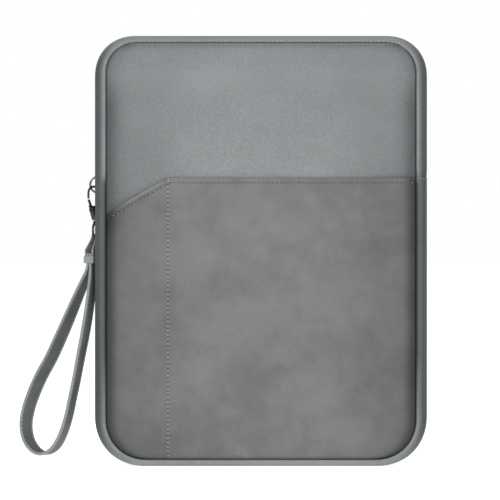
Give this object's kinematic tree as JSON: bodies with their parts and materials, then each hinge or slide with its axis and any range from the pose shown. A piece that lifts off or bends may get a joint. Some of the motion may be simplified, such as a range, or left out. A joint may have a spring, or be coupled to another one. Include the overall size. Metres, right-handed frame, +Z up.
{
  "type": "tablet case",
  "caption": "Padded tablet sleeve with a slanted front pocket, a zipped flap that folds forward, and a wrist strap on a clasp.",
  "frame": {"origin": "on the surface that the case stands on, at the middle of its width and depth", "axes": "+X to the right seen from the front, +Y to the back, so the pocket faces -Y, +Z up towards the zipped end"},
  "size_m": [0.2506, 0.0284, 0.263],
  "materials": {
    "woven_fabric": "fine twill woven polyester, light greenish grey",
    "band_fabric": "the same twill over a padded edge",
    "pocket_leather": "cloudy nubuck-like synthetic leather, warm grey",
    "strap_leather": "smooth synthetic leather with lighter cut edges",
    "plush_lining": "short soft plush",
    "foam": "closed cell foam sheet",
    "thread": "twisted polyester thread",
    "zip_tape": "woven zip tape",
    "zip_coil": "nylon coil",
    "gunmetal": "dark polished zinc alloy",
    "black_metal": "glossy black coated zinc alloy"
  },
  "bodies": {
    "case": {"back_fabric": "woven_fabric", "back_foam": "foam", "back_lining": "plush_lining", "front_fabric": "woven_fabric", "front_foam": "foam", "front_lining": "plush_lining", "pocket_leather": "pocket_leather", "pocket_stitching": "thread", "pocket_bartack": "thread", "front_lower_band": "band_fabric", "back_lower_band": "band_fabric", "back_upper_band": "band_fabric", "gusset_strip": "band_fabric", "gusset_lining": "plush_lining", "back_tape": "zip_tape", "back_coil": "zip_coil", "front_tape_end": "zip_tape", "front_coil_end": "zip_coil", "zip_stops": "gunmetal"},
    "flap": {"flap_fabric": "woven_fabric", "flap_foam": "foam", "flap_lining": "plush_lining", "flap_band": "band_fabric", "flap_tape": "zip_tape", "flap_coil": "zip_coil"},
    "slider": {"slider_body": "gunmetal", "slider_bridge": "gunmetal"},
    "clasp": {"clasp_hook": "black_metal", "clasp_pin": "gunmetal", "clasp_spring": "gunmetal"},
    "gate": {"clasp_gate": "black_metal"},
    "eye": {"swivel_eye": "gunmetal"},
    "strap": {"strap_tab": "strap_leather", "strap_keeper": "strap_leather", "strap_stitching": "thread", "strap_loop": "strap_leather"}
  },
  "joints": [
    {"name": "flap_fold", "type": "hinge", "parent": "case", "child": "flap", "pos_m": [0, -0.011, 0.1786], "axis": [1, 0, 0], "range_deg": [0, 75]},
    {"name": "slider_travel", "type": "slide", "parent": "case", "child": "slider", "axis": [0, 0, 1], "range_m": [0, 0.055]},
    {"name": "clasp_swing", "type": "hinge", "parent": "slider", "child": "clasp", "pos_m": [-0.1016, 0, 0.171], "axis": [0, 1, 0], "range_deg": [0, 30]},
    {"name": "gate_press", "type": "hinge", "parent": "clasp", "child": "gate", "pos_m": [-0.10334, -0.00207, 0.1576], "axis": [-0.766, 0.6428, 0], "range_deg": [0, 25], "stiffness_Nm_per_rad": 0.004, "springref_deg": -17.19},
    {"name": "swivel_turn", "type": "hinge", "parent": "clasp", "child": "eye", "pos_m": [-0.1016, 0, 0.15], "axis": [0, 0, 1], "range_deg": [-3, 3]},
    {"name": "strap_swing", "type": "hinge", "parent": "eye", "child": "strap", "pos_m": [-0.1016, 0, 0.1404], "axis": [0.342, 0.9397, 0], "range_deg": [0, 70]}
  ]
}
